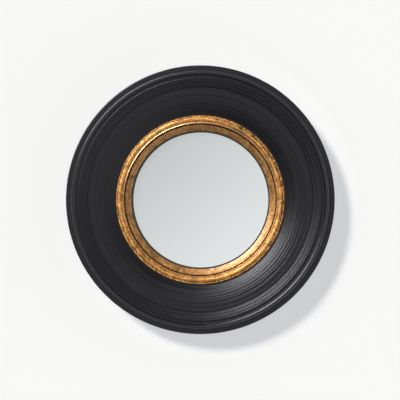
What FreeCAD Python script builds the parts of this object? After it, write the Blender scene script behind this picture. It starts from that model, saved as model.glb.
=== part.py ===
import FreeCAD, Part
import os
import re
import Sketcher

# A convex butler's mirror: a turned and reeded black frame, two gilt rings and a domed glass.
# Millimetres. +Z is up and the glass faces -Y. The wall is the plane Y = 0, and the origin is the
# point of the wall behind the middle of the glass. "Depth" below is the distance out from the wall.

SIZES = {
    # the turned moulding, from its outer edge inwards
    "frame_diameter": 400.0,
    "frame_depth": 54.0,
    "side_cove_height": 7.0,
    "side_cove_hollow": 1.7,
    "edge_round": 2.0,
    "edge_band_width": 8.3,
    "edge_band_drop": 7.0,
    "crest_bead_width": 6.8,
    "crest_bead_rise": 3.3,
    "crest_groove_width": 3.1,
    "crest_groove_depth": 0.15,
    "small_bead_drop": 3.8,
    "small_bead_width": 3.4,
    "small_bead_rise": 0.9,
    "upper_reed_count": 5,
    "upper_reed_band": 10.6,
    "upper_reed_drop": 4.2,
    "middle_groove_width": 2.0,
    "middle_groove_depth": 1.1,
    "broad_bead_width": 10.0,
    "broad_bead_rise": 0.5,
    "broad_bead_drop": 2.6,
    "lower_groove_width": 1.4,
    "lower_groove_depth": 0.6,
    "lower_reed_count": 10,
    "lower_reed_crown": 1.5,
    "reed_rise": 0.25,
    "foot_width": 1.4,
    "foot_height": 16.3,
    # the gilt ring that lines the moulding
    "gilt_ring_fit": 0.3,
    "gilt_rim_height": 15.3,
    "gilt_rim_width": 0.6,
    "gilt_bead_width": 9.2,
    "gilt_bead_rise": 2.4,
    "gilt_hollow_width": 0.8,
    "gilt_fillet_width": 1.2,
    "gilt_fillet_rise": 0.5,
    "gilt_inner_edge": 0.4,
    # the gilt ring around the glass
    "sight_diameter": 208.0,
    "sight_ring_width": 9.0,
    "sight_gap": 1.5,
    "sight_height": 8.6,
    "sight_round": 0.6,
    "sight_crown": 0.25,
    "sight_lip_thickness": 1.0,
    # the glass and what holds it
    "glass_lap": 2.0,
    "glass_curve_radius": 400.0,
    "glass_thickness": 3.0,
    "glass_fit": 1.0,
    "soft_clearance": 0.3,
    "gasket_overhang": 2.2,
    "gasket_thickness": 0.9,
    "packing_inset": 0.5,
    "packing_width": 7.5,
    "packing_thickness": 2.4,
    "retainer_ledge": 15.0,
    "retainer_lap": 3.0,
    "retainer_thickness": 4.0,
    # the back of the frame
    "backing_step": 5.0,
    "backing_thickness": 12.0,
    "backing_round": 1.5,
    "board_ledge": 8.0,
    "board_thickness": 3.0,
    "board_fit": 0.5,
    "board_gap": 1.0,
    "bumper_height": 5.0,
    "bumper_diameter": 12.0,
    "bumper_round": 2.0,
    "bumper_inset": 16.8,
    # the fasteners
    "pilot_fit": 0.1,
    "drill_run": 1.0,
    "screw_point": 2.0,
    "retainer_screw_count": 6,
    "retainer_screw_length": 7.0,
    "retainer_screw_diameter": 3.0,
    "retainer_head_diameter": 6.0,
    "retainer_head_height": 1.6,
    "board_screw_count": 8,
    "board_screw_length": 10.0,
    "board_screw_diameter": 3.0,
    "board_head_diameter": 5.8,
    "board_head_height": 1.8,
    "moulding_screw_count": 6,
    "moulding_screw_circle": 330.0,
    "moulding_screw_length": 30.0,
    "moulding_screw_diameter": 4.0,
    "moulding_head_diameter": 8.0,
    "moulding_head_height": 2.2,
    # the two hangers
    "hanger_side_inset": 20.0,
    "hanger_top_inset": 35.0,
    "hanger_wire": 2.5,
    "hanger_pin_clearance": 0.08,
    "hanger_ring_width": 21.5,
    "hanger_ring_corner": 3.0,
    "hanger_ring_leg": 12.5,
    "strap_thickness": 1.0,
    "strap_width": 12.0,
    "strap_length": 14.0,
    "strap_corner": 4.0,
    "strap_curl_end": 70.0,
    "strap_screw_drop": 8.0,
    "strap_screw_length": 11.0,
    "strap_screw_diameter": 3.2,
    "strap_head_diameter": 6.4,
    "strap_head_height": 1.8,
}

# Places worked out from the sizes: first depths, then radii. The moulding's run inwards from its
# outer edge, and all others run outwards from the sight edge, so the lower reeds take up what is left.
BACK = "bumper_height"
JOINT = "(bumper_height + backing_thickness)"
BOARD_SEAT = "(bumper_height + board_thickness)"
RETAINER_SEAT = f"({BOARD_SEAT} + board_gap + retainer_thickness)"
BAND = "(frame_depth - edge_band_drop)"
CREST_BASE = "(frame_depth - crest_bead_rise)"
UPPER_REEDS = "(frame_depth - small_bead_drop)"
MIDDLE = f"({UPPER_REEDS} - upper_reed_drop)"
LOWER_REEDS = f"({MIDDLE} - broad_bead_drop)"
FOOT = f"({JOINT} + foot_height)"
RIM = f"({JOINT} + gilt_rim_height)"
SIGHT_TOP = f"({JOINT} + sight_height)"

OUTER_RADIUS = "(frame_diameter / 2)"
BACKING_RADIUS = f"({OUTER_RADIUS} - backing_step)"
MOULDING_SCREWS = "(moulding_screw_circle / 2)"
BAND_RADIUS = f"({OUTER_RADIUS} - edge_band_width)"
CREST_RADIUS = f"({BAND_RADIUS} - crest_bead_width)"
SMALL_BEAD_RADIUS = f"({CREST_RADIUS} - crest_groove_width)"
UPPER_REED_RADIUS = f"({SMALL_BEAD_RADIUS} - small_bead_width)"
UPPER_REED_END = f"({UPPER_REED_RADIUS} - upper_reed_band)"
BROAD_BEAD_RADIUS = f"({UPPER_REED_END} - middle_groove_width)"
BROAD_BEAD_END = f"({BROAD_BEAD_RADIUS} - broad_bead_width)"
LOWER_REED_RADIUS = f"({BROAD_BEAD_END} - lower_groove_width)"
LIP_RADIUS = "(sight_diameter / 2)"
SIGHT_RADIUS = f"({LIP_RADIUS} + sight_ring_width)"
GILT_INNER_RADIUS = f"({SIGHT_RADIUS} + sight_gap)"
GILT_EDGE_RADIUS = f"({GILT_INNER_RADIUS} + gilt_inner_edge)"
GILT_FILLET_RADIUS = f"({GILT_EDGE_RADIUS} + gilt_fillet_width)"
GILT_HOLLOW_RADIUS = f"({GILT_FILLET_RADIUS} + gilt_hollow_width)"
GILT_BEAD_RADIUS = f"({GILT_HOLLOW_RADIUS} + gilt_bead_width)"
GILT_RADIUS = f"({GILT_BEAD_RADIUS} + gilt_rim_width)"
BORE_RADIUS = f"({GILT_RADIUS} + gilt_ring_fit)"
LOWER_REED_END = f"({BORE_RADIUS} + foot_width)"
GLASS_RADIUS = f"({LIP_RADIUS} + glass_lap)"
GLASS_BORE = f"({GLASS_RADIUS} + glass_fit)"
GASKET_RADIUS = f"({LIP_RADIUS} - gasket_overhang)"
PACKING_RADIUS = f"({GLASS_RADIUS} - packing_inset)"
PACKING_INNER = f"({PACKING_RADIUS} - packing_width)"
RETAINER_BORE = f"({PACKING_INNER} - retainer_lap)"
RETAINER_REBATE = f"({GLASS_BORE} + retainer_ledge)"
RETAINER_RADIUS = f"({RETAINER_REBATE} - board_fit)"
BOARD_REBATE = f"({RETAINER_REBATE} + board_ledge)"
BOARD_RADIUS = f"({BOARD_REBATE} - board_fit)"
RETAINER_SCREWS = f"(({GLASS_BORE} + {RETAINER_REBATE}) / 2)"
BOARD_SCREWS = f"(({RETAINER_REBATE} + {BOARD_REBATE}) / 2)"
BUMPER_PLACE = f"(({BACKING_RADIUS} - bumper_inset) * cos(45))"
HANGER_SIDE = f"({BOARD_REBATE} - hanger_side_inset)"
HANGER_LEVEL = f"({BOARD_REBATE} - hanger_top_inset)"
HANGER_SCREW_LEVEL = f"({HANGER_LEVEL} - strap_screw_drop)"

# The dome: two spheres about one centre, which lies behind the wall.
BACK_CURVE = "(glass_curve_radius - glass_thickness)"
GLASS_EDGE = f"({RETAINER_SEAT} + packing_thickness)"
DOME_CENTRE = f"({GLASS_EDGE} - sqrt({BACK_CURVE}^2 - {GLASS_RADIUS}^2))"

# The curl of a hanger strap around its ring's bar.
CURL_INSIDE = "(hanger_wire / 2 + hanger_pin_clearance)"
CURL_OUTSIDE = f"({CURL_INSIDE} + strap_thickness)"
HINGE_DEPTH = f"({BACK} - {CURL_OUTSIDE})"

doc = FreeCAD.newDocument("butlers_mirror")
sheet = doc.addObject("Spreadsheet::Sheet", "sizes")
bodies = []


def fill_sheet():
    for row, (name, size) in enumerate(SIZES.items(), start=1):
        sheet.set(f"A{row}", name)
        sheet.set(f"B{row}", str(size))
        sheet.setAlias(f"B{row}", name)
    doc.recompute()


def bound(text):
    """The same expression, with each size written as its cell in the sheet."""
    return re.sub("[a-z_]+", lambda word: "sizes." + word[0] if word[0] in SIZES else word[0], text)


def value(text):
    return float(sheet.evalExpression(bound(text)))


def whole(name):
    return int(round(value(name)))


def glass_front(radius):
    return f"({DOME_CENTRE} + sqrt(glass_curve_radius^2 - ({radius})^2))"


def glass_back(radius):
    return f"({DOME_CENTRE} + sqrt({BACK_CURVE}^2 - ({radius})^2))"


def quarter_rise(radius):
    """The rise of a quarter round over its chord."""
    return f"({radius}) * (1 - cos(45))"


def dome_rise(curve, edge, apex):
    """The rise over its chord of the arc from the glass's edge to its middle."""
    return f"({curve} - sqrt({curve}^2 - ({GLASS_RADIUS}^2 + ({apex} - {edge})^2) / 4))"


def new_body(name):
    body = doc.addObject("PartDesign::Body", name)
    body.Label = name
    bodies.append(body)
    return body


def origin_feature(body, role):
    return next(item for item in body.Origin.OriginFeatures if item.Role == role)


def place(body, x="0", y="0", z="0"):
    for axis, text in zip("xyz", (x, y, z)):
        body.setExpression(f".Placement.Base.{axis}", bound(text))


def new_sketch(body, role, offset=None):
    sketch = body.newObject("Sketcher::SketchObject", body.Name + "_outline")
    sketch.AttachmentSupport = [(origin_feature(body, role), "")]
    sketch.MapMode = "FlatFace"
    if offset:
        sketch.setExpression(".AttachmentOffset.Base.z", bound(offset))
    return sketch


def edge_between(start, end, rise):
    """A line, or an arc that bulges by rise to the left of the way from start to end."""
    if not rise:
        return Part.LineSegment(start, end), False
    way = (end - start).normalize()
    middle = (start + end) * 0.5 + FreeCAD.Vector(-way.y, way.x, 0) * rise
    if rise > 0:
        return Part.Arc(end, middle, start), True
    return Part.Arc(start, middle, end), False


def away_from_origin(direction, edge, point, size):
    """Holds a point of an edge at its distance from the origin, or on the axis if that is 0."""
    if size:
        return Sketcher.Constraint("Distance" + direction, -1, 1, edge, point, size)
    return Sketcher.Constraint("PointOnObject", edge, point, {"X": -2, "Y": -1}[direction])


def draw(sketch, corners):
    """Closes an outline through the corners, given clockwise as (x, y) or (x, y, rise) texts.

    Each corner is held at its two bound distances from the origin, and each arc by its radius.
    """
    corners = [corner if len(corner) == 3 else (*corner, None) for corner in corners]
    points = [FreeCAD.Vector(value(x), value(y), 0) for x, y, _ in corners]
    rises = [value(rise) if rise else 0.0 for _, _, rise in corners]
    edges = []
    turned_round = []
    for index, start in enumerate(points):
        edge, backwards = edge_between(start, points[(index + 1) % len(points)], rises[index])
        edges.append(edge)
        turned_round.append(backwards)
    ids = sketch.addGeometry(edges, False)
    rules = []
    texts = []
    for index, (x, y, rise) in enumerate(corners):
        after = (index + 1) % len(corners)
        first = 2 if turned_round[index] else 1
        last = 1 if turned_round[index] else 2
        next_first = 2 if turned_round[after] else 1
        rules.append(Sketcher.Constraint("Coincident", ids[index], last, ids[after], next_first))
        for direction, text, size in (("X", x, points[index].x), ("Y", y, points[index].y)):
            if size:
                texts.append((len(rules), text))
            rules.append(away_from_origin(direction, ids[index], first, size))
        if rise:
            next_x, next_y, _ = corners[after]
            chord = f"((({next_x}) - ({x}))^2 + (({next_y}) - ({y}))^2)"
            texts.append((len(rules), f"abs({chord} / (8 * ({rise})) + ({rise}) / 2)"))
            rules.append(Sketcher.Constraint("Radius", ids[index], sketch.Geometry[ids[index]].Radius))
    sketch.addConstraint(rules)
    for number, text in texts:
        sketch.setExpression(f"Constraints[{number}]", bound(text))


def turn(body, corners, kind="PartDesign::Revolution", at=None, level=None):
    """Turns an outline of (radius, depth) corners about the mirror's axis.

    With at, it is turned about a line that is parallel to that axis, at x = at and z = level.
    """
    sketch = new_sketch(body, "XY_Plane", level)
    centre = f"{at} + " if at else ""
    draw(sketch, [(centre + x, f"-({depth})", *rise) for x, depth, *rise in corners])
    feature = body.newObject(kind, sketch.Name + "_turned")
    feature.Profile = sketch
    if at:
        x = value(at)
        line = Part.LineSegment(FreeCAD.Vector(x, 0, 0), FreeCAD.Vector(x, -value(BACK), 0))
        axis = sketch.addGeometry(line, True)
        sketch.addConstraint(Sketcher.Constraint("Vertical", axis))
        number = sketch.addConstraint(away_from_origin("X", axis, 1, x))
        if x:
            sketch.setExpression(f"Constraints[{number}]", bound(at))
        feature.ReferenceAxis = (sketch, ["Axis0"])
    else:
        feature.ReferenceAxis = (origin_feature(body, "Y_Axis"), [""])
    feature.Angle = 360
    body.Tip = feature
    doc.recompute()
    return feature


def repeat(body, feature, count):
    """Spreads copies of a feature evenly about the mirror's axis."""
    pattern = body.newObject("PartDesign::PolarPattern", feature.Name + "_ring")
    pattern.Originals = [feature]
    pattern.Axis = (origin_feature(body, "Y_Axis"), [""])
    pattern.Angle = 360
    pattern.setExpression("Occurrences", bound(count))
    body.Tip = pattern
    doc.recompute()


def bore(body, radius, start, end, at, level=None, count=None):
    """Bores a round hole, or a ring of count holes, from an open face to a depth."""
    before = body.Shape.Volume
    entry = f"({start} - drill_run)"
    outline = [(radius, end), ("0", end), ("0", entry), (radius, entry)]
    hole = turn(body, outline, "PartDesign::Groove", at, level)
    if count:
        repeat(body, hole, count)
    if body.Shape.Volume > before - 1:
        raise RuntimeError(f"a hole in {body.Label} cuts nothing")


def reeds(start, end, count, crown):
    """The corners of a row of reeds from one (radius, depth) to another, along a crowned line."""
    corners = []
    for number in range(whole(count)):
        share = f"({number} / {count})"
        radius = f"({start[0]} + ({end[0]} - {start[0]}) * {share})"
        sag = f"4 * {crown} * {share} * (1 - {share})"
        depth = f"({start[1]} + ({end[1]} - {start[1]}) * {share} + {sag})"
        corners.append((radius, depth, "reed_rise"))
    return corners


def groove_bottom(outside, width, level, depth):
    return (f"({outside} - {width} / 2)", f"({level} - {depth})")


def make_frame_moulding():
    """The black turned ring, with its pilot holes for the screws from behind."""
    body = new_body("frame_moulding")
    edge = f"({BAND} - edge_round)"
    cove = f"({JOINT} + side_cove_height)"
    turn(body, [
        (OUTER_RADIUS, edge, quarter_rise("edge_round")),
        (f"({OUTER_RADIUS} - edge_round)", BAND),
        (BAND_RADIUS, BAND),
        (BAND_RADIUS, CREST_BASE, "crest_bead_rise"),
        (CREST_RADIUS, CREST_BASE),
        groove_bottom(CREST_RADIUS, "crest_groove_width", UPPER_REEDS, "crest_groove_depth"),
        (SMALL_BEAD_RADIUS, UPPER_REEDS, "small_bead_rise"),
        *reeds((UPPER_REED_RADIUS, UPPER_REEDS), (UPPER_REED_END, MIDDLE), "upper_reed_count", "0"),
        (UPPER_REED_END, MIDDLE),
        groove_bottom(UPPER_REED_END, "middle_groove_width", MIDDLE, "middle_groove_depth"),
        (BROAD_BEAD_RADIUS, MIDDLE, "broad_bead_rise"),
        (BROAD_BEAD_END, LOWER_REEDS),
        groove_bottom(BROAD_BEAD_END, "lower_groove_width", LOWER_REEDS, "lower_groove_depth"),
        *reeds((LOWER_REED_RADIUS, LOWER_REEDS), (LOWER_REED_END, FOOT), "lower_reed_count",
               "lower_reed_crown"),
        (LOWER_REED_END, FOOT),
        (BORE_RADIUS, FOOT),
        (BORE_RADIUS, JOINT),
        (BACKING_RADIUS, JOINT, "(-side_cove_hollow)"),
        (OUTER_RADIUS, cove),
    ])
    hole = "(moulding_screw_diameter / 2 + pilot_fit)"
    end = f"({BACK} + moulding_screw_length + pilot_fit)"
    bore(body, hole, JOINT, end, MOULDING_SCREWS, count="moulding_screw_count")


def make_backing_ring():
    """The flat ring behind the moulding: it carries the glass, the board and the hangers."""
    body = new_body("backing_ring")
    turn(body, [
        (BACKING_RADIUS, JOINT),
        (GLASS_BORE, JOINT),
        (GLASS_BORE, RETAINER_SEAT),
        (RETAINER_REBATE, RETAINER_SEAT),
        (RETAINER_REBATE, BOARD_SEAT),
        (BOARD_REBATE, BOARD_SEAT),
        (BOARD_REBATE, BACK),
        (f"({BACKING_RADIUS} - backing_round)", BACK, quarter_rise("backing_round")),
        (BACKING_RADIUS, f"({BACK} + backing_round)"),
    ])
    pilot = "(retainer_screw_diameter / 2 + pilot_fit)"
    back = f"({BOARD_SEAT} + board_gap)"
    end = f"({back} + retainer_screw_length + pilot_fit)"
    bore(body, pilot, RETAINER_SEAT, end, RETAINER_SCREWS, count="retainer_screw_count")
    pilot = "(board_screw_diameter / 2 + pilot_fit)"
    end = f"({BACK} + board_screw_length + pilot_fit)"
    bore(body, pilot, BOARD_SEAT, end, BOARD_SCREWS, count="board_screw_count")
    bore_countersunk(body, BACK, JOINT, MOULDING_SCREWS, "moulding")
    pilot = "(strap_screw_diameter / 2 + pilot_fit)"
    end = f"({BACK} - strap_thickness + strap_screw_length + pilot_fit)"
    for sign in ("", "-"):
        bore(body, pilot, BACK, end, f"{sign}{HANGER_SIDE}", HANGER_SCREW_LEVEL)


def bore_countersunk(body, start, end, circle, screw):
    """A ring of through holes, each with a cone that takes a screw's head flush."""
    shank = f"({screw}_screw_diameter / 2 + pilot_fit)"
    head = f"({screw}_head_diameter / 2 + pilot_fit)"
    entry = f"({start} - drill_run)"
    cone = f"({start} + {screw}_head_height)"
    far = f"({end} + drill_run)"
    outline = [(head, start), (shank, cone), (shank, far), ("0", far), ("0", entry), (head, entry)]
    hole = turn(body, outline, "PartDesign::Groove", circle)
    repeat(body, hole, f"{screw}_screw_count")


def make_gilt_bead_ring():
    """The outer gilt ring: a bold bead, a hollow and a thin fillet."""
    turn(new_body("gilt_bead_ring"), [
        (GILT_RADIUS, RIM),
        (GILT_BEAD_RADIUS, RIM, "gilt_bead_rise"),
        (GILT_HOLLOW_RADIUS, RIM),
        (GILT_FILLET_RADIUS, RIM, "gilt_fillet_rise"),
        (GILT_EDGE_RADIUS, RIM),
        (GILT_INNER_RADIUS, f"({RIM} - gilt_inner_edge)"),
        (GILT_INNER_RADIUS, JOINT),
        (GILT_RADIUS, JOINT),
    ])


def lip_underside():
    return f"({glass_front(GASKET_RADIUS)} + soft_clearance + gasket_thickness)"


def make_gilt_sight_ring():
    """The inner gilt ring, whose lip laps over the edge of the glass."""
    under = lip_underside()
    turn(new_body("gilt_sight_ring"), [
        (SIGHT_RADIUS, f"({SIGHT_TOP} - sight_round)", quarter_rise("sight_round")),
        (f"({SIGHT_RADIUS} - sight_round)", SIGHT_TOP, "sight_crown"),
        (LIP_RADIUS, f"({under} + sight_lip_thickness)"),
        (LIP_RADIUS, under),
        (GLASS_BORE, under),
        (GLASS_BORE, JOINT),
        (SIGHT_RADIUS, JOINT),
    ])


def make_glass_gasket():
    """The thin black slip that shows between the inner gilt ring and the glass."""
    turn(new_body("glass_gasket"), [
        (PACKING_RADIUS, lip_underside()),
        (GASKET_RADIUS, lip_underside()),
        (GASKET_RADIUS, f"({glass_front(GASKET_RADIUS)} + soft_clearance)"),
        (PACKING_RADIUS, f"({glass_front(PACKING_RADIUS)} + soft_clearance)"),
    ])


def make_convex_glass():
    """The silvered dome."""
    front_edge = glass_front(GLASS_RADIUS)
    front_apex = glass_front("0")
    back_edge = glass_back(GLASS_RADIUS)
    back_apex = glass_back("0")
    turn(new_body("convex_glass"), [
        (GLASS_RADIUS, front_edge, dome_rise("glass_curve_radius", front_edge, front_apex)),
        ("0", front_apex),
        ("0", back_apex, f"-{dome_rise(BACK_CURVE, back_edge, back_apex)}"),
        (GLASS_RADIUS, back_edge),
    ])


def make_packing_ring():
    """The soft ring that presses the glass forward."""
    turn(new_body("packing_ring"), [
        (PACKING_RADIUS, f"({glass_back(PACKING_RADIUS)} - soft_clearance)"),
        (PACKING_INNER, f"({glass_back(PACKING_INNER)} - soft_clearance)"),
        (PACKING_INNER, RETAINER_SEAT),
        (PACKING_RADIUS, RETAINER_SEAT),
    ])


def make_retaining_ring():
    """The ring that holds the packing and the glass in the rebate."""
    body = new_body("retaining_ring")
    back = f"({RETAINER_SEAT} - retainer_thickness)"
    turn(body, [
        (RETAINER_RADIUS, RETAINER_SEAT),
        (RETAINER_BORE, RETAINER_SEAT),
        (RETAINER_BORE, back),
        (RETAINER_RADIUS, back),
    ])
    bore_countersunk(body, back, RETAINER_SEAT, RETAINER_SCREWS, "retainer")


def make_back_board():
    """The round board that closes the back, let in flush."""
    body = new_body("back_board")
    turn(body, [
        (BOARD_RADIUS, BOARD_SEAT),
        ("0", BOARD_SEAT),
        ("0", BACK),
        (BOARD_RADIUS, BACK),
    ])
    hole = "(board_screw_diameter / 2 + pilot_fit)"
    bore(body, hole, BACK, f"({BOARD_SEAT} + drill_run)", BOARD_SCREWS, count="board_screw_count")


def screw_outline(screw, seat, countersunk):
    """Half of a wood screw: its head at the seat's depth and its point towards the glass."""
    shank = f"({screw}_screw_diameter / 2)"
    head = f"({screw}_head_diameter / 2)"
    tip = f"({seat} + {screw}_screw_length)"
    point = [(shank, f"({tip} - screw_point)"), ("0", tip)]
    if countersunk:
        return [(head, seat), (shank, f"({seat} + {screw}_head_height)"), *point, ("0", seat)]
    top = f"({seat} - {screw}_head_height)"
    side = f"({seat} - {screw}_head_height / 2)"
    flat = f"({head} - {screw}_head_height / 2)"
    rounded = quarter_rise(f"{screw}_head_height / 2")
    return [(head, seat), (shank, seat), *point, ("0", top), (flat, top, rounded), (head, side)]


def make_screw_ring(screw, seat, circle, countersunk):
    body = new_body(f"{screw}_screws")
    first = turn(body, screw_outline(screw, seat, countersunk), at=circle)
    repeat(body, first, f"{screw}_screw_count")


def free_corners(shape):
    """The two short edges at the free end of a strap's plate, which run through its thickness."""
    lowest = shape.BoundBox.ZMin
    thickness = value("strap_thickness")
    names = []
    for number, edge in enumerate(shape.Edges, start=1):
        box = edge.BoundBox
        if box.ZMax < lowest + thickness and abs(box.YLength - thickness) < thickness / 100:
            names.append(f"Edge{number}")
    return names


def make_hanger(side, sign):
    """One hanger: a strap that is curled around the bar of a free ring, and its screw."""
    x = f"{sign}{HANGER_SIDE}"

    strap = new_body(f"hanger_strap_{side}")
    outline = new_sketch(strap, "YZ_Plane")
    outer_end = (f"({CURL_OUTSIDE} * cos(strap_curl_end))", f"(-{CURL_OUTSIDE} * sin(strap_curl_end))")
    inner_end = (f"({CURL_INSIDE} * cos(strap_curl_end))", f"(-{CURL_INSIDE} * sin(strap_curl_end))")
    curl = "(1 - cos((180 + strap_curl_end) / 2))"
    draw(outline, [
        (f"(-{CURL_OUTSIDE})", "(-strap_length)"),
        (f"(-{CURL_OUTSIDE})", "0", f"{CURL_OUTSIDE} * {curl}"),
        outer_end,
        (*inner_end, f"(-{CURL_INSIDE} * {curl})"),
        (f"(-{CURL_INSIDE})", "0"),
        (f"(-{CURL_INSIDE})", "(-strap_length)"),
    ])
    plate = strap.newObject("PartDesign::Pad", strap.Name + "_plate")
    plate.Profile = outline
    plate.SideType = "Symmetric"
    plate.setExpression("Length", bound("strap_width"))
    doc.recompute()
    corners = strap.newObject("PartDesign::Fillet", strap.Name + "_corners")
    corners.Base = (plate, free_corners(plate.Shape))
    corners.setExpression("Radius", bound("strap_corner"))
    strap.Tip = corners
    doc.recompute()
    hole = "(strap_screw_diameter / 2 + pilot_fit)"
    # the strap stands at the hinge, so these depths are counted from there
    far = f"({CURL_OUTSIDE} + drill_run)"
    bore(strap, hole, CURL_INSIDE, far, "0", "(-strap_screw_drop)")
    place(strap, x, f"-{HINGE_DEPTH}", HANGER_LEVEL)

    ring = new_body(f"hanger_ring_{side}")
    half = "(hanger_ring_width / 2)"
    corner = "hanger_ring_corner"
    leg = "(-hanger_ring_leg)"
    path = new_sketch(ring, "XZ_Plane")
    draw(path, [
        (f"({corner} - {half})", "0"),
        (f"({half} - {corner})", "0", quarter_rise(corner)),
        (half, f"(-{corner})"),
        (half, leg, quarter_rise(half)),
        ("0", f"({leg} - {half})", quarter_rise(half)),
        (f"(-{half})", leg),
        (f"(-{half})", f"(-{corner})", quarter_rise(corner)),
    ])
    section = new_sketch(ring, "YZ_Plane")
    circle = section.addGeometry(
        Part.Circle(FreeCAD.Vector(), FreeCAD.Vector(0, 0, 1), value("hanger_wire / 2")), False)
    section.addConstraint(Sketcher.Constraint("Coincident", circle, 3, -1, 1))
    number = section.addConstraint(Sketcher.Constraint("Diameter", circle, value("hanger_wire")))
    section.setExpression(f"Constraints[{number}]", bound("hanger_wire"))
    doc.recompute()
    wire = ring.newObject("PartDesign::AdditivePipe", ring.Name + "_wire")
    wire.Profile = section
    wire.Spine = (path, [f"Edge{number}" for number in range(1, len(path.Shape.Edges) + 1)])
    ring.Tip = wire
    place(ring, x, f"-{HINGE_DEPTH}", HANGER_LEVEL)

    screw = new_body(f"hanger_screw_{side}")
    turn(screw, screw_outline("strap", "0", countersunk=False))
    place(screw, x, f"-({BACK} - strap_thickness)", HANGER_SCREW_LEVEL)


def make_wall_bumper(name, x_sign, z_sign):
    """A rubber foot that keeps the back off the wall."""
    body = new_body(name)
    radius = "(bumper_diameter / 2)"
    turn(body, [
        (radius, BACK),
        ("0", BACK),
        ("0", "0"),
        (f"({radius} - bumper_round)", "0", quarter_rise("bumper_round")),
        (radius, "bumper_round"),
    ])
    place(body, f"{x_sign}{BUMPER_PLACE}", "0", f"{z_sign}{BUMPER_PLACE}")


def build():
    fill_sheet()
    make_frame_moulding()
    make_backing_ring()
    make_gilt_bead_ring()
    make_gilt_sight_ring()
    make_glass_gasket()
    make_convex_glass()
    make_packing_ring()
    make_retaining_ring()
    make_back_board()
    make_screw_ring("retainer", f"({BOARD_SEAT} + board_gap)", RETAINER_SCREWS, countersunk=True)
    make_screw_ring("board", BACK, BOARD_SCREWS, countersunk=False)
    make_screw_ring("moulding", BACK, MOULDING_SCREWS, countersunk=True)
    for side, sign in (("left", "-"), ("right", "")):
        make_hanger(side, sign)
        for level, z_sign in (("top", ""), ("bottom", "-")):
            make_wall_bumper(f"wall_bumper_{level}_{side}", sign, z_sign)
    doc.recompute()


def check():
    for item in doc.Objects:
        if "Invalid" in item.State or "Error" in item.State:
            raise RuntimeError(f"{item.Name} failed: {item.State}")
    for body in bodies:
        if body.Shape.isNull() or not body.Shape.isValid() or not body.Shape.Solids:
            raise RuntimeError(f"{body.Label} has no valid solid")


def write_parts():
    os.makedirs("parts", exist_ok=True)
    for body in bodies:
        body.Shape.exportStep(f"parts/{body.Label}.step")
        print(f"{body.Label}: {len(body.Shape.Solids)} solid(s), {body.Shape.Volume:.1f} mm3")


build()
check()
write_parts()
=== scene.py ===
import bmesh
import bpy
import math
import random
from bpy.props import FloatProperty, FloatVectorProperty, IntProperty, PointerProperty
from mathutils import Matrix, Vector, noise


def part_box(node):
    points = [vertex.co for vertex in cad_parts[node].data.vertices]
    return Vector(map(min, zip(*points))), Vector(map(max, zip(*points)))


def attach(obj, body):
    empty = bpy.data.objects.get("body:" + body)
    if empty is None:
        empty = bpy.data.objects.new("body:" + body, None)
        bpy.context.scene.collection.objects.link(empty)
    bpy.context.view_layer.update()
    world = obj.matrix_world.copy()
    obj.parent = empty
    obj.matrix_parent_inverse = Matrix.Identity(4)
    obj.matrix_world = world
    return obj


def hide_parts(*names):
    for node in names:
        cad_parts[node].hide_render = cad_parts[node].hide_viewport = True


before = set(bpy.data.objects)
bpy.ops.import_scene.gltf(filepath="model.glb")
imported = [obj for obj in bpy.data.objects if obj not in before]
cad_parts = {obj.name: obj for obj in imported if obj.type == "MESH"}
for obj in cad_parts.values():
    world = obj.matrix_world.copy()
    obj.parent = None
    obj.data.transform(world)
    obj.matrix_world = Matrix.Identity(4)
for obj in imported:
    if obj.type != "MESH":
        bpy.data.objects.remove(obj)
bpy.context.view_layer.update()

# A convex butler's mirror: a black frame turned with beads and reeds, two gilt rings, a domed
# mirror glass, and the board, screws, hangers and bumpers behind it. Sizes are in metres. The
# mirror's axis is Y, its wall is the plane Y = 0, and "depth" is the distance out from that wall,
# towards -Y.

bl_info = {
    "name": "Butler's Mirror",
    "version": (1, 0, 0),
    "blender": (4, 5, 0),
    "location": "View3D > Sidebar > Mirror",
    "description": "Turns, gilds, silvers and hangs a convex butler's mirror",
    "category": "Add Mesh",
}

AXIS = Vector((0, 1, 0))
MILLIMETRE = 0.001
SIDES = {"left": -1, "right": 1}
# Faces that meet at less than the crease look smooth, and the straps' edges past sharp are rounded.
CREASE = math.radians(32)
SHARP = math.radians(50)
# How close two points of a mesh are that are made one.
DOUBLE = 1e-7

# Widths of the reeds in their two bands, outermost first, as parts of the band.
UPPER_REEDS = (1.3, 3.4, 1.4, 3.4, 1.6)
LOWER_REEDS = (2.8, 2.4, 3.1, 0.8, 2.6, 2.4, 1.5, 1.4, 1.0)
# The length of one straight step along a reed's section.
REED_STEP = 0.32 * MILLIMETRE
# The way across the front, right and a little up, in which the leaf is worn most.
MOST_WORN = Vector((7.3, 0, 3.4))
# The ways to the lamp behind the wall, to the room's brighter end and to its filled side.
BEHIND = Vector((0.25, 1.0, 0.45)).normalized()
BRIGHTER = Vector((0.64, 0, -0.77))
FILLED = Vector((0.9, 0, -0.44))
# The camera's sensor in millimetres, and the nearest and farthest that it sees in metres.
SENSOR_WIDTH = 36
NEAREST = 0.05
FARTHEST = 50


def reach(node):
    """The outer radius of a turned node."""
    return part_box(node)[1].x


def front(node):
    """The depth of a node's foremost point."""
    return -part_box(node)[0].y


def back(node):
    """The depth of a node's rearmost point."""
    return -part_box(node)[1].y


def length(name, description, millimetres):
    """A length, given in millimetres and kept in metres."""
    return FloatProperty(
        name=name, description=description, default=millimetres * MILLIMETRE, min=0, precision=5,
        subtype="DISTANCE", unit="LENGTH")


def colour(name, description, rgb):
    return FloatVectorProperty(
        name=name, description=description, default=rgb, size=3, min=0, max=1, subtype="COLOR")


def share(name, description, default, most=1.0):
    return FloatProperty(
        name=name, description=description, default=default, min=0, max=most, subtype="FACTOR")


def angle(name, description, degrees):
    """An angle, given in degrees and kept in radians."""
    return FloatProperty(
        name=name, description=description, default=math.radians(degrees), subtype="ANGLE")


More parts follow.
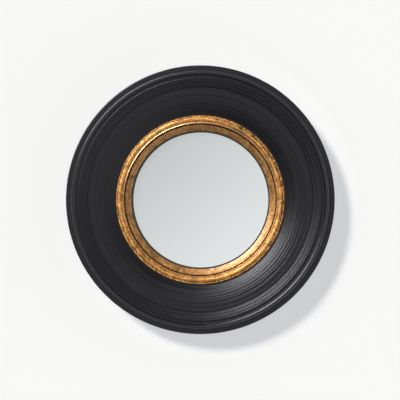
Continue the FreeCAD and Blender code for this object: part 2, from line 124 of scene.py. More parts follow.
def count(name, description, number):
    return IntProperty(name=name, description=description, default=number, min=4)


def strength(name, description, value):
    return FloatProperty(name=name, description=description, default=value, min=0)


def pixel(name, description, place):
    """A place or a length in the picture, in its pixels."""
    return FloatProperty(name=name, description=description, default=place)


class MouldingSettings(bpy.types.PropertyGroup):
    """The black turned frame."""
    edge_round: length("Edge round", "Radius of the frame's outer front edge", 2.0)
    edge_slope: length("Edge slope", "How far the band outside the crest falls outwards", 0.5)
    side_cove_height: length("Side cove height", "Height of the hollow behind the side", 7.0)
    side_cove_hollow: length("Side cove hollow", "How far that hollow is cut in", 1.7)
    edge_band: length("Edge band", "Width of the band outside the crest bead", 8.3)
    edge_band_drop: length("Edge band drop", "How far that band lies behind the crest", 7.0)
    crest_width: length("Crest width", "Width of the bold bead near the edge", 6.8)
    crest_rise: length("Crest rise", "How far that bead stands out", 3.4)
    crest_groove: length("Crest groove", "Width of the groove inside the crest bead", 3.1)
    crest_groove_depth: length("Crest groove depth", "Depth of that groove", 0.15)
    small_bead: length("Small bead", "Width of the small bead", 3.4)
    small_bead_rise: length("Small bead rise", "How far the small bead stands out", 0.9)
    small_bead_drop: length("Small bead drop", "How far its foot lies behind the crest", 3.8)
    upper_reeds: length("Upper reeds", "Width of the outer band of reeds", 10.6)
    upper_reed_drop: length("Upper reed drop", "How far that band falls", 4.2)
    middle_groove: length("Middle groove", "Width of the step inside the upper reeds", 2.0)
    middle_groove_depth: length("Middle groove depth", "How far the frame steps down there", 1.0)
    middle_slope: share("Middle slope", "Part of that step's width that slopes", 0.3)
    ridge: length("Ridge", "Width of the thin ridge outside the flat bead", 3.0)
    ridge_rise: length("Ridge rise", "How far the thin ridge stands out", 0.2)
    broad_bead: length("Broad bead", "Width of the flat bead in the middle", 7.0)
    broad_bead_rise: length("Broad bead rise", "How far the flat bead stands out", 0.4)
    broad_bead_drop: length("Broad bead drop", "How far bead and ridge fall", 1.1)
    lower_groove: length("Lower groove", "Width of the step inside the flat bead", 1.4)
    lower_groove_depth: length("Lower groove depth", "How far the frame steps down there", 0.5)
    lower_slope: share("Lower slope", "Part of that step's width that slopes", 0.4)
    lower_reed_crown: length("Lower reed crown", "How far the inner slope swells", 1.5)
    foot_width: length("Foot width", "Width of the flat foot at the gilt ring", 1.4)
    foot_height: length("Foot height", "Height of that foot above the joint", 16.3)
    reed_rise: length("Reed rise", "How far a reed stands out", 0.32)
    bore_play: length("Bore play", "Play around the outer gilt ring", 0.3)
    tool_marks: length("Tool marks", "Depth of the turning tool's finest marks", 0.12)
    tool_pitch: length("Tool pitch", "Spacing of the finest marks", 0.9)
    chatter_pitch: length("Chatter pitch", "Spacing of the coarser marks, twice as deep", 2.6)
    steps: count("Steps", "Steps around the frame", 288)


class GiltSettings(bpy.types.PropertyGroup):
    """The two gilt rings."""
    rim: length("Rim", "Width of the thin bead outside the bold one", 2.6)
    rim_rise: length("Rim rise", "How far that thin bead stands out", 0.45)
    rim_height: length("Rim height", "Height of the beads' feet above the joint", 15.3)
    bead: length("Bead", "Width of the bold bead", 7.2)
    bead_rise: length("Bead rise", "How far the bead stands out", 2.3)
    hollow: length("Hollow", "Width of the hollow inside the bead", 0.8)
    hollow_depth: length("Hollow depth", "Depth of that hollow", 0.2)
    fillet: length("Fillet", "Width of the thin fillet", 1.2)
    fillet_slope: share("Fillet slope", "Part of that width taken by its outer slope", 0.75)
    fillet_rise: length("Fillet rise", "How far the fillet stands out", 0.5)
    inner_edge: length("Inner edge", "Bevel of the ring's inner edge", 0.4)
    sight_radius: length("Sight radius", "Radius of the opening in the inner ring", 104.0)
    sight_height: length("Sight height", "Height of the inner ring above the joint", 8.6)
    sight_round: length("Sight round", "Radius of the inner ring's outer edge", 0.6)
    sight_crown: length("Sight crown", "How far the inner ring's slope swells", 0.25)
    lip: length("Lip", "Thickness of the lip over the glass", 1.0)
    glass_play: length("Glass play", "Play around the glass in its rebate", 1.0)
    wobble: length("Wobble", "Unevenness of the outer ring's ground", 0.12)
    wobble_pitch: length("Wobble pitch", "Spacing of that unevenness", 7.0)
    sight_wobble: length("Sight wobble", "Unevenness of the inner ring's ground", 0.072)
    sight_wobble_pitch: length("Sight wobble pitch", "Spacing of that unevenness", 9.0)
    steps: count("Steps", "Steps around each ring", 480)


class GlassSettings(bpy.types.PropertyGroup):
    """The domed glass and the slip around it."""
    curve: length("Curve", "Radius of the dome's front", 400.0)
    thickness: length("Thickness", "Thickness of the glass", 3.0)
    slip_show: length("Slip show", "How far the slip shows inside the gilt ring", 2.2)
    slip_lift: length("Slip lift", "Play between the slip and the glass", 0.15)
    slip_edge: length("Slip edge", "Width of the slip's rounded inner edge", 0.4)
    slip_edge_rise: length("Slip edge rise", "How far that edge swells", 0.2)
    # Moving the slip's inner part right shows more black on the left: painted shade for the shade
    # there, on a real slip.
    slip_shift: length("Slip shift", "How far the slip is fitted off centre, to the right", 0.5)
    rings: count("Rings", "Steps from the middle to the edge", 48)
    steps: count("Steps", "Steps around the glass", 256)


class BackSettings(bpy.types.PropertyGroup):
    """What is behind the frame."""
    screw_height: length("Screw height", "Height of a pan screw's head", 1.8)
    board_screws: count("Board screws", "Their number", 8)
    moulding_screws: count("Moulding screws", "Their number", 6)
    board_screw_head: length("Board screw head", "Diameter of the board screws' heads", 5.8)
    board_screw_shank: length("Board screw shank", "Diameter of the board screws", 3.0)
    moulding_screw_head: length("Moulding screw head", "Diameter of the flush screws' heads", 8.0)
    moulding_screw_shank: length("Moulding screw shank", "Diameter of the flush screws", 4.0)
    moulding_screw_cone: length("Moulding screw cone", "Height of the flush screws' heads", 2.2)
    moulding_screw_sink: length("Moulding screw sink", "How far those screws are driven in", 0.15)
    hanger_screw_head: length("Hanger screw head", "Diameter of the hanger screws' heads", 6.4)
    hanger_screw_shank: length("Hanger screw shank", "Diameter of the hanger screws", 3.2)
    screw_point: length("Screw point", "Length of a screw's point", 2.0)
    recess_span: share("Recess span", "Span of a screw's cross recess, of its head", 0.58)
    recess_floor: share("Recess floor", "Span of that recess's floor, of its mouth", 0.45)
    recess_width: length("Recess width", "Width of the cross recess's arms", 0.8)
    recess_taper: share("Recess taper", "Width of the arms at the floor, of their mouth", 0.7)
    recess_depth: length("Recess depth", "Depth of the cross recess", 1.1)
    metal_edge: length("Metal edge", "Rounding of the straps' edges", 0.12)
    wire: length("Wire", "Thickness of the hanger rings' wire", 2.5)
    wire_corner: length("Wire corner", "Bend of the wire beside the bar", 3.0)
    strap_thickness: length("Strap thickness", "Thickness of the straps", 1.0)
    strap_corner: length("Strap corner", "Rounding of a strap's free end", 4.0)
    curl_clearance: length("Curl clearance", "Play of the wire in its strap", 0.08)
    curl_end: angle("Curl end", "How far a strap's curl comes around", 70)
    board_edge: length("Board edge", "Wear of the back board's edge", 0.35)
    bumper_round: length("Bumper round", "Rounding of the bumpers", 2.0)
    bumper_dimple: length("Bumper dimple", "Depth of the dimple in a bumper", 0.6)
    dimple_mouth: share("Dimple mouth", "Span of the dimple's mouth, of the bumper", 0.55)
    dimple_floor: share("Dimple floor", "Span of the dimple's floor, of the bumper", 0.38)
    dimple_hollow: share("Dimple hollow", "Hollow of the dimple's wall, of that radius", 0.03)
    screw_steps: count("Screw steps", "Steps around a screw", 32)
    board_steps: count("Board steps", "Steps around the back board", 160)
    bumper_steps: count("Bumper steps", "Steps around a bumper", 48)


class FinishSettings(bpy.types.PropertyGroup):
    """Colours of the finishes."""
    paint: colour("Paint", "The satin black", (0.0028, 0.0026, 0.0036))
    dusty_paint: colour("Dusty paint", "Cloudy patches of the black", (0.008, 0.0078, 0.0092))
    leaf: colour("Leaf", "The gold leaf", (0.68, 0.290, 0.064))
    pale_leaf: colour("Pale leaf", "Brighter patches of the leaf", (0.86, 0.49, 0.150))
    red_leaf: colour("Red leaf", "Patches where red ground shows through", (0.50, 0.165, 0.050))
    burnished: colour("Burnished", "The polished edge of the outer ring", (0.60, 0.44, 0.27))
    olive: colour("Olive", "Patches of old varnish", (0.29, 0.165, 0.038))
    pitted: colour("Pitted", "Brown pits in the leaf", (0.13, 0.060, 0.020))
    rubbed: colour("Rubbed", "The dark ground where the leaf is rubbed away", (0.055, 0.026, 0.012))
    silver: colour("Silver", "The mirror", (0.885, 0.905, 0.90))
    gleam: colour("Gleam", "The tint of the black's gleam", (0.94, 0.93, 1.0))
    backing: colour("Backing", "The grey paint behind the mirror", (0.16, 0.17, 0.18))
    pale_backing: colour("Pale backing", "Paler clouds in that paint", (0.22, 0.23, 0.24))
    slip: colour("Slip", "The black slip", (0.012, 0.012, 0.013))
    foam: colour("Foam", "The packing", (0.055, 0.055, 0.058))
    board: colour("Board", "The fibreboard", (0.23, 0.125, 0.062))
    zinc: colour("Zinc", "The zinc plate", (0.60, 0.60, 0.585))
    rubber: colour("Rubber", "The bumpers", (0.022, 0.022, 0.023))


class StageSettings(bpy.types.PropertyGroup):
    """The wall, the light and the camera."""
    wall: colour("Wall", "The wall", (0.56, 0.56, 0.56))
    wall_glow: colour(
        "Wall glow", "What the camera sees of the wall without its lamps", (0.343, 0.350, 0.365))
    # Painted light: the wall's glow is raised close around the frame, to cancel the shade that the
    # frame casts there.
    wall_lift: share("Wall lift", "How much brighter the wall is close around the frame", 0.072)
    wall_lift_reach: share("Wall lift reach", "Where that ends, in frame radii", 1.22, most=3)
    backdrop: colour("Backdrop", "The room as the camera sees it", (0.922, 0.922, 0.922))
    wall_size: length("Wall size", "Width of the wall", 6000.0)
    wall_hole: share("Wall hole", "Size of the hole behind the frame, of the backing ring", 0.9)
    wall_gap: length("Wall gap", "How far the wall's face is set back", 0.2)
    room: colour("Room", "The light of the room in front", (0.75, 0.765, 0.77))
    room_slope: share("Room slope", "How much brighter the room's lower right is", 0.23)
    room_sides: share("Room sides", "Light from the room's sides", 0.15)
    room_fill: share("Room fill", "How much brighter its right and lower right side is", 0.80)
    room_behind: share("Room behind", "Light from behind the wall", 0.62)
    key_power: strength("Key power", "Strength of the key lamp", 2.5)
    key_colour: colour("Key colour", "The key lamp's colour", (1.0, 0.96, 0.90))
    key_off_axis: angle("Key off axis", "How far to the side the key lamp stands", 40.3)
    key_turn: angle("Key turn", "Where it stands around the axis, from the right", 135)
    key_size: angle("Key size", "How wide the key lamp looks", 11)
    soft_power: strength("Soft power", "Strength of each soft box's gleam", 1.2)
    soft_off_axis: angle("Soft off axis", "How far to the side the three soft boxes stand", 56)
    soft_turn: angle("Soft turn", "Where the middle one stands, from the right", 131)
    soft_size: angle("Soft size", "How wide each soft box looks", 24)
    soft_spread: angle("Soft spread", "How far apart they stand around the axis", 15)
    back_power: strength("Back power", "Strength of the lamp behind", 1.1)
    back_size: angle("Back size", "How wide the lamp behind looks", 30)
    view_right: angle("View right", "How far right of the axis the camera stands", 1.8)
    view_down: angle("View down", "How far below the axis the camera stands", 1.6)
    distance: length("Distance", "How far the camera stands from the wall", 2400.0)
    image_width: count("Image width", "Width of the picture in pixels", 400)
    rim_x: pixel("Rim X", "The frame's middle, across", 199.95)
    rim_y: pixel("Rim Y", "The frame's middle, down", 199.4)
    rim_radius: pixel("Rim radius", "The frame's radius", 134.5)


class MirrorSettings(bpy.types.PropertyGroup):
    """Every size and colour of the mirror."""
    moulding: PointerProperty(type=MouldingSettings)
    gilt: PointerProperty(type=GiltSettings)
    glass: PointerProperty(type=GlassSettings)
    back: PointerProperty(type=BackSettings)
    finish: PointerProperty(type=FinishSettings)
    stage: PointerProperty(type=StageSettings)


def settings():
    """The scene's own sizes and colours of the mirror."""
    return bpy.context.scene.butlers_mirror


# Outlines and meshes


class Outline:
    """Half of a turned piece's section: points of (radius, depth), run inwards over the front."""

    def __init__(self, radius, depth):
        self.points = [Vector((radius, depth))]

    def line(self, radius, depth, steps=1):
        start = self.points[-1]
        end = Vector((radius, depth))
        self.points += [start.lerp(end, step / steps) for step in range(1, steps + 1)]

    def arc(self, radius, depth, rise, steps):
        """An arc that stands proud of its chord by rise, or is hollow where rise is negative."""
        start = self.points[-1]
        end = Vector((radius, depth))
        along = (end - start).normalized()
        side = Vector((along.y, -along.x)) * math.copysign(1, rise)
        half = (end - start).length / 2
        bend = (half**2 + rise**2) / (2 * abs(rise))
        centre = (start + end) / 2 + side * (abs(rise) - bend)
        sweep = math.atan2(half, bend - abs(rise))
        for step in range(1, steps):
            turned = sweep * (2 * step / steps - 1)
            self.points.append(centre + (side * math.cos(turned) + along * math.sin(turned)) * bend)
        self.points.append(end)

    def inwards(self, width, depth, steps=1):
        """A line from here to so far further in."""
        self.line(self.points[-1].x - width, depth, steps)

    def bead(self, width, depth, rise, steps):
        """An arc from here to so far further in."""
        self.arc(self.points[-1].x - width, depth, rise, steps)

    def step_down(self, width, drop, slope):
        """A slope, which takes its share of the width, and then a flat."""
        level = self.points[-1].y - drop
        self.inwards(slope * width, level, steps=3)
        self.inwards((1 - slope) * width, level, steps=3)

    def roughen(self, first, last, amount, pitch, seed):
        """Cuts fine valleys between two places of the outline, as a turning tool does."""
        for point in self.points[first:last]:
            point.y -= amount * abs(noise.noise(Vector((point.x / pitch, seed, 0))))


def quarter_rise(radius):
    """How far a quarter circle stands proud of its chord."""
    return radius * (1 - math.cos(math.pi / 4))


def turned_mesh(points, steps):
    """Spins an outline of (radius, depth) points about the mirror's axis."""
    mesh = bmesh.new()
    corners = [mesh.verts.new((radius, -depth, 0)) for radius, depth in points]
    sides = zip(corners, corners[1:] + corners[:1])
    edges = [mesh.edges.new(pair) for pair in sides if max(pair[0].co.x, pair[1].co.x) > 0]
    bmesh.ops.spin(
        mesh, geom=corners + edges, cent=(0, 0, 0), axis=AXIS, angle=2 * math.pi, steps=steps,
        use_merge=True)
    bmesh.ops.remove_doubles(mesh, verts=mesh.verts, dist=DOUBLE)
    bmesh.ops.recalc_face_normals(mesh, faces=mesh.faces)
    return mesh


def shade(mesh, crease):
    """Smooth faces, with a hard edge wherever two of them meet at more than crease."""
    for face in mesh.faces:
        face.smooth = True
    for edge in mesh.edges:
        edge.smooth = edge.calc_face_angle(0) < crease


def add_piece(mesh, name, nodes, body, materials, crease=CREASE):
    """Makes an object of a bmesh, which then stands for CAD nodes and rides on their body."""
    shade(mesh, crease)
    data = bpy.data.meshes.new(name)
    mesh.to_mesh(data)
    mesh.free()
    piece = bpy.data.objects.new(name, data)
    bpy.context.scene.collection.objects.link(piece)
    for material in materials:
        data.materials.append(material)
    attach(piece, body)
    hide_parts(*nodes)
    return piece


def carve(mesh, cutter):
    """Takes the cutter's shape out of a mesh, and returns the new mesh."""
    things = []
    for part in (mesh, cutter):
        data = bpy.data.meshes.new("carving")
        part.to_mesh(data)
        part.free()
        things.append(bpy.data.objects.new("carving", data))
        bpy.context.scene.collection.objects.link(things[-1])
    body, tool = things
    cut = body.modifiers.new("cut", "BOOLEAN")
    cut.operation = "DIFFERENCE"
    cut.solver = "EXACT"
    cut.use_self = True
    cut.object = tool
    seen = body.evaluated_get(bpy.context.evaluated_depsgraph_get())
    carved = bmesh.new()
    carved.from_mesh(seen.to_mesh())
    seen.to_mesh_clear()
    for thing in things:
        data = thing.data
        bpy.data.objects.remove(thing)
        bpy.data.meshes.remove(data)
    return carved


def merge_into(target, part, matrix):
    """Adds a copy of one bmesh to another, placed by a matrix."""
    data = bpy.data.meshes.new("part")
    part.to_mesh(data)
    data.transform(matrix)
    target.from_mesh(data)
    bpy.data.meshes.remove(data)


# Materials


class NodeTree:
    """Shader nodes, written one at a time."""

    def __init__(self, tree):
        self.tree = tree

    def node(self, kind, inputs=(), output=0, **fields):
        """Adds a node and returns one of its outputs. Inputs are pairs of socket and value."""
        made = self.tree.nodes.new("ShaderNode" + kind)
        for field, setting in fields.items():
            setattr(made, field, setting)
        for socket, given in dict(inputs).items():
            self.feed(made.inputs[socket], given)
        return made.outputs[output]

    def feed(self, socket, given):
        if isinstance(given, bpy.types.NodeSocket):
            self.tree.links.new(given, socket)
        elif hasattr(given, "__len__") and len(given) == 3 and socket.type == "RGBA":
            socket.default_value = (*given, 1)
        else:
            socket.default_value = given

    def reckon(self, operation, first, second=0.0):
        return self.node("Math", {0: first, 1: second}, operation=operation)

    def add(self, first, second):
        return self.reckon("ADD", first, second)

    def subtract(self, first, second):
        return self.reckon("SUBTRACT", first, second)

    def multiply(self, first, second):
        return self.reckon("MULTIPLY", first, second)

    def larger(self, first, second):
        return self.reckon("MAXIMUM", first, second)

    def apart(self, first, second):
        """How far two values are apart."""
        return self.reckon("ABSOLUTE", self.subtract(first, second))

    def add_vector(self, first, second):
        return self.node("VectorMath", {0: first, 1: second}, operation="ADD")

    def dot(self, first, second):
        inputs = {0: first, 1: tuple(second)}
        return self.node("VectorMath", inputs, output="Value", operation="DOT_PRODUCT")

    def ramp(self, fac, low, high, start=0.0, end=1.0):
        """A smooth step from start to end, as fac goes from low to high."""
        inputs = {"Value": fac, "From Min": low, "From Max": high, "To Min": start, "To Max": end}
        return self.node("MapRange", inputs, interpolation_type="SMOOTHSTEP")


class Recipe(NodeTree):
    """A material's nodes around its shader."""

    def __init__(self, name):
        self.material = bpy.data.materials.new(name)
        self.material.use_nodes = True
        super().__init__(self.material.node_tree)
        self.shader = self.tree.nodes["Principled BSDF"]

    def set(self, **inputs):
        """Sets the shader's own sockets, written with _ for a space."""
        for socket, given in inputs.items():
            self.feed(self.shader.inputs[socket.replace("_", " ")], given)

    def place(self):
        return self.node("TexCoord", output="Object")

    def mapped(self, **inputs):
        """The place, moved or stretched."""
        return self.node("Mapping", {"Vector": self.place(), **inputs})

    def radius(self):
        """The distance from the mirror's axis."""
        flat = self.node("VectorMath", {0: self.place(), 1: (1, 0, 1)}, operation="MULTIPLY")
        return self.node("VectorMath", {0: flat}, output="Value", operation="LENGTH")

    def noise(self, scale, detail=4.0, roughness=0.55, vector=None, across=None, distortion=0.0):
        """Noise of so many features per metre, or of more than that across the radius."""
        inputs = {"Vector": vector or self.place(), "Scale": scale, "Detail": detail,
                  "Roughness": roughness, "Distortion": distortion}
        if across is None:
            return self.node("TexNoise", inputs, output="Fac")
        inputs["W"] = self.multiply(self.radius(), across / scale)
        return self.node("TexNoise", inputs, output="Fac", noise_dimensions="4D")

    def mix(self, fac, first, second, blend="MIX"):
        """Blends two colours."""
        made = self.tree.nodes.new("ShaderNodeMix")
        made.data_type = "RGBA"
        made.blend_type = blend
        colours = [socket for socket in made.inputs if socket.type == "RGBA"]
        self.feed(made.inputs[0], fac)
        self.feed(colours[0], first)
        self.feed(colours[1], second)
        return next(socket for socket in made.outputs if socket.type == "RGBA")

    def bump(self, height, distance, strength=1.0):
        inputs = {"Height": height, "Distance": distance, "Strength": strength}
        return self.node("Bump", inputs, output="Normal")


def times(rgb, factor):
    """A lighter or darker colour."""
    return tuple(factor * part for part in rgb)


def satin_black():
    """Satin black on turned wood: lathe lines under the paint, a dusty sheen, a rubbed crest."""
    recipe = Recipe("satin_black")
    finish = settings().finish
    sizes = settings().moulding
    lines = recipe.noise(6, detail=3, roughness=0.6, across=900)
    bands = recipe.noise(4, detail=2, across=260)
    cloud = recipe.noise(38, detail=5)
    dust = recipe.noise(900, detail=3)
    tone = recipe.mix(recipe.ramp(bands, 0.35, 0.7), tuple(finish.paint), times(finish.paint, 1.7))
    tone = recipe.mix(recipe.ramp(cloud, 0.5, 0.8, end=0.35), tone, tuple(finish.dusty_paint))

    # the crest is rubbed smoother than the rest, all the way around
    crest_middle = reach("frame_moulding") - sizes.edge_band - sizes.crest_width / 2
    from_crest = recipe.apart(recipe.radius(), crest_middle)
    crest = recipe.ramp(from_crest, 2.5 * MILLIMETRE, 4.5 * MILLIMETRE, start=1, end=0)

    sheen = recipe.ramp(bands, 0.3, 0.7, 0.29, 0.38)
    sheen = recipe.add(sheen, recipe.ramp(cloud, 0.3, 0.7, end=0.06))
    sheen = recipe.add(sheen, recipe.ramp(lines, 0.4, 0.6, -0.05, 0.06))
    sheen = recipe.subtract(sheen, recipe.multiply(crest, 0.12))
    height = recipe.add(lines, recipe.multiply(dust, 0.25))
    height = recipe.multiply(height, recipe.ramp(crest, 0, 1, start=1, end=0.25))
    recipe.set(Base_Color=tone, Roughness=sheen, IOR=1.45, Specular_Tint=tuple(finish.gleam),
               Normal=recipe.bump(height, 0.25 * MILLIMETRE, 0.6),
               Coat_Weight=recipe.multiply(crest, 0.45), Coat_Roughness=0.25)
    return recipe.material


def patchy_leaf(recipe, patches, second):
    """The leaf's colour: paler, redder and varnished patches, and pits."""
    finish = settings().finish
    leaf = recipe.mix(recipe.ramp(patches, 0.46, 0.57), tuple(finish.leaf), tuple(finish.pale_leaf))
    leaf = recipe.mix(recipe.ramp(second, 0.53, 0.63, end=0.75), leaf, tuple(finish.red_leaf))
    moved = recipe.mapped(Location=(0.3, 0.1, 0.7))
    varnish = recipe.noise(95, detail=5, roughness=0.65, vector=moved)
    leaf = recipe.mix(recipe.ramp(varnish, 0.53, 0.62, end=0.8), leaf, tuple(finish.olive))
    pits = recipe.noise(520, detail=3, roughness=0.6)
    return recipe.mix(recipe.ramp(pits, 0.58, 0.615, end=0.9), leaf, tuple(finish.pitted))


def rubbed_leaf(recipe, radius):
    """Where the leaf is rubbed through: spots on the bead's outer half, and the ring's edge."""
    edge = reach("gilt_bead_ring")
    outer_half = recipe.ramp(radius, edge - 9.7 * MILLIMETRE, edge - 3.9 * MILLIMETRE)
    to_corner = recipe.dot(recipe.place(), MOST_WORN)
    worn = recipe.multiply(recipe.ramp(to_corner, 0.35, 0.92, 0.05, 0.125), outer_half)
    spots = recipe.noise(260, detail=5, roughness=0.65, across=300)
    rubbed = recipe.ramp(recipe.add(spots, worn), 0.635, 0.665)
    ragged = recipe.ramp(spots, 0.3, 0.7, -0.3 * MILLIMETRE, 0.3 * MILLIMETRE)
    ragged = recipe.add(radius, ragged)
    rim = recipe.ramp(ragged, edge - 1.4 * MILLIMETRE, edge - 0.6 * MILLIMETRE, end=0.9)
    return recipe.larger(rubbed, rim)


def gold_leaf():
    """Old gold leaf over a dark ground: patches of other tones, and spots rubbed through."""
    recipe = Recipe("gold_leaf")
    finish = settings().finish
    sizes = settings().gilt
    radius = recipe.radius()
    patches = recipe.noise(120, detail=5, across=260)
    second = recipe.noise(110, detail=5, roughness=0.6, across=360)
    grain = recipe.noise(1400, detail=3)
    rubbed = rubbed_leaf(recipe, radius)
    leaf = recipe.mix(rubbed, patchy_leaf(recipe, patches, second), tuple(finish.rubbed))

    # the fillet is burnished; the inner ring's leaf is darkened with painted shade, and it has a
    # thicker coat of varnish
    fillet_outside = reach("gilt_bead_ring") - sizes.rim - sizes.bead - sizes.hollow
    from_fillet = recipe.apart(radius, fillet_outside - sizes.fillet / 2)
    fillet = recipe.ramp(from_fillet, 0.4 * MILLIMETRE, 0.9 * MILLIMETRE, start=1, end=0)
    leaf = recipe.mix(recipe.multiply(fillet, 0.7), leaf, tuple(finish.burnished))
    gap = [reach("gilt_sight_ring") + inset * MILLIMETRE for inset in (0.3, 1.1)]
    # painted shade: the inner ring's colour is multiplied darker, where its recess lies in shade
    inner = recipe.ramp(radius, *gap, start=0.64, end=1)
    grey = recipe.node("CombineColor", {0: inner, 1: inner, 2: inner})
    leaf = recipe.mix(1.0, leaf, grey, "MULTIPLY")

    rough = recipe.ramp(patches, 0.3, 0.7, 0.47, 0.59)
    rough = recipe.add(rough, recipe.ramp(rubbed, 0, 1, end=0.2))
    rough = recipe.subtract(rough, recipe.multiply(fillet, 0.32))
    height = recipe.add(recipe.ramp(rubbed, 0, 1, start=1, end=0), recipe.multiply(grain, 0.35))
    height = recipe.add(height, recipe.multiply(second, 0.8))
    height = recipe.multiply(height, recipe.ramp(fillet, 0, 1, start=1, end=0.1))
    recipe.set(Base_Color=leaf, Roughness=rough, Normal=recipe.bump(height, 0.14 * MILLIMETRE, 0.7),
               Metallic=recipe.ramp(rubbed, 0, 1, start=0.92, end=0),
               Coat_Weight=recipe.ramp(radius, *gap, start=0.9, end=0.45), Coat_Roughness=0.3)
    return recipe.material


def mirror_silver():
    """Mirror glass, with the faintest waviness."""
    recipe = Recipe("mirror_silver")
    tint = tuple(settings().finish.silver)
    wave = recipe.noise(9, detail=1)
    haze = recipe.noise(30, detail=4)
    tone = recipe.mix(recipe.ramp(haze, 0.35, 0.7, end=0.25), tint, times(tint, 0.97))
    recipe.set(Base_Color=tone, Metallic=1.0, Roughness=recipe.ramp(haze, 0.3, 0.8, 0.012, 0.03),
               Normal=recipe.bump(wave, 0.2 * MILLIMETRE, 0.05))
    return recipe.material


def backing_paint():
    """The grey paint over the silvering."""
    recipe = Recipe("backing_paint")
    finish = settings().finish
    tone = recipe.mix(recipe.noise(60, detail=5), tuple(finish.backing), tuple(finish.pale_backing))
    recipe.set(Base_Color=tone, Roughness=0.6)
    return recipe.material


def slip_rubber():
    """Matt black, for the slip between the gilt ring and the glass."""
    recipe = Recipe("slip_rubber")
    base = tuple(settings().finish.slip)
    tone = recipe.mix(recipe.noise(400, detail=4), base, times(base, 1.8))
    recipe.set(Base_Color=tone, Roughness=0.55,
               Normal=recipe.bump(recipe.noise(1600), 0.08 * MILLIMETRE, 0.5))
    return recipe.material


def packing_foam():
    """Dark closed-cell foam."""
    recipe = Recipe("packing_foam")
    base = tuple(settings().finish.foam)
    inputs = {"Vector": recipe.place(), "Scale": 1300.0}
    cells = recipe.node("TexVoronoi", inputs, output="Distance")
    tone = recipe.mix(recipe.ramp(cells, 0.1, 0.6), times(base, 0.5), base)
    recipe.set(Base_Color=tone, Roughness=0.9, Normal=recipe.bump(cells, 0.3 * MILLIMETRE, 0.8))
    return recipe.material


def hardboard():
    """Brown hardboard: short matted fibres and a slight polish."""
    recipe = Recipe("hardboard")
    base = tuple(settings().finish.board)
    fibres = recipe.noise(520, detail=6, roughness=0.75, distortion=1.4)
    stretched = recipe.mapped(Scale=(1.0, 1.0, 0.22))
    streaks = recipe.noise(700, detail=5, roughness=0.7, vector=stretched, distortion=0.6)
    cloud = recipe.noise(14, detail=4)
    tone = recipe.mix(recipe.ramp(fibres, 0.3, 0.72), times(base, 0.45), base)
    tone = recipe.mix(recipe.ramp(streaks, 0.55, 0.75, end=0.5), tone, times(base, 1.5))
    tone = recipe.mix(recipe.ramp(cloud, 0.4, 0.75, end=0.3), tone, times(base, 0.7))
    recipe.set(Base_Color=tone, Roughness=recipe.ramp(fibres, 0.3, 0.7, 0.5, 0.72),
               Normal=recipe.bump(recipe.add(fibres, streaks), 0.12 * MILLIMETRE, 0.6))
    return recipe.material


def zinc_plate():
    """Bright zinc on steel, cloudy and lightly scratched."""
    recipe = Recipe("zinc_plate")
    base = tuple(settings().finish.zinc)
    cloud = recipe.noise(190, detail=5)
    scratches = recipe.noise(2600, detail=3, vector=recipe.mapped(Scale=(1.0, 1.0, 0.08)))
    tone = recipe.mix(recipe.ramp(cloud, 0.35, 0.7), base, times(base, 0.72))
    recipe.set(Base_Color=tone, Metallic=1.0, Roughness=recipe.ramp(cloud, 0.3, 0.7, 0.22, 0.4),
               Normal=recipe.bump(scratches, 0.04 * MILLIMETRE, 0.5))
    return recipe.material


def bumper_black():
    """Black rubber, a little shiny."""
    recipe = Recipe("bumper_black")
    base = tuple(settings().finish.rubber)
    tone = recipe.mix(recipe.noise(300, detail=4), base, times(base, 1.7))
    recipe.set(Base_Color=tone, Roughness=recipe.ramp(recipe.noise(120), 0.3, 0.7, 0.45, 0.65),
               Normal=recipe.bump(recipe.noise(2200), 0.05 * MILLIMETRE, 0.4))
    return recipe.material


def material(make):
    """A finish, made once and then shared."""
    return bpy.data.materials.get(make.__name__) or make()


# Pieces


class TurnMoulding(bpy.types.Operator):
    """Turns the black frame"""
    bl_idname = "butlers_mirror.turn_moulding"
    bl_label = "Frame moulding"

    def execute(self, context):
        sizes = settings().moulding
        outer = reach("frame_moulding")
        joint = back("frame_moulding")
        crest = front("frame_moulding")
        cove = joint + sizes.side_cove_height
        foot = joint + sizes.foot_height
        bore = reach("gilt_bead_ring") + sizes.bore_play
        shoulder = crest - sizes.edge_band_drop - sizes.edge_slope
        outline = Outline(outer, cove)
        outline.inwards(0, shoulder - sizes.edge_round)
        outline.bead(sizes.edge_round, shoulder, quarter_rise(sizes.edge_round), steps=10)
        first = len(outline.points)
        turn_crest(outline, sizes, outer, crest)
        radius, depth = outline.points[-1]
        cut_reeds(outline, radius - sizes.upper_reeds, depth - sizes.upper_reed_drop, UPPER_REEDS,
                  0, sizes.reed_rise)
        turn_middle(outline, sizes)
        cut_reeds(outline, bore + sizes.foot_width, foot, LOWER_REEDS, sizes.lower_reed_crown,
                  sizes.reed_rise)
        last = len(outline.points)
        outline.line(bore, foot)
        outline.line(bore, joint)
        outline.line(reach("backing_ring"), joint)
        outline.arc(outer, cove, -sizes.side_cove_hollow, steps=8)
        outline.points.pop()
        outline.roughen(first, last, sizes.tool_marks, sizes.tool_pitch, seed=3)
        outline.roughen(first, last, 2 * sizes.tool_marks, sizes.chatter_pitch, seed=8)
        mesh = turned_mesh(outline.points, sizes.steps)
        add_piece(mesh, "turned_moulding", ["frame_moulding"], "mirror",
                  [material(satin_black)])
        return {"FINISHED"}


def turn_crest(outline, sizes, outer, crest):
    """The outer band, the bold crest bead, its groove and the small bead."""
    outline.line(outer - sizes.edge_band, crest - sizes.edge_band_drop, steps=6)
    level = crest - sizes.crest_rise
    outline.inwards(0, level)
    outline.bead(sizes.crest_width, level, sizes.crest_rise, steps=26)
    level = crest - sizes.small_bead_drop
    outline.inwards(sizes.crest_groove / 2, level - sizes.crest_groove_depth, steps=3)
    outline.inwards(sizes.crest_groove / 2, level, steps=3)
    outline.bead(sizes.small_bead, level, sizes.small_bead_rise, steps=9)


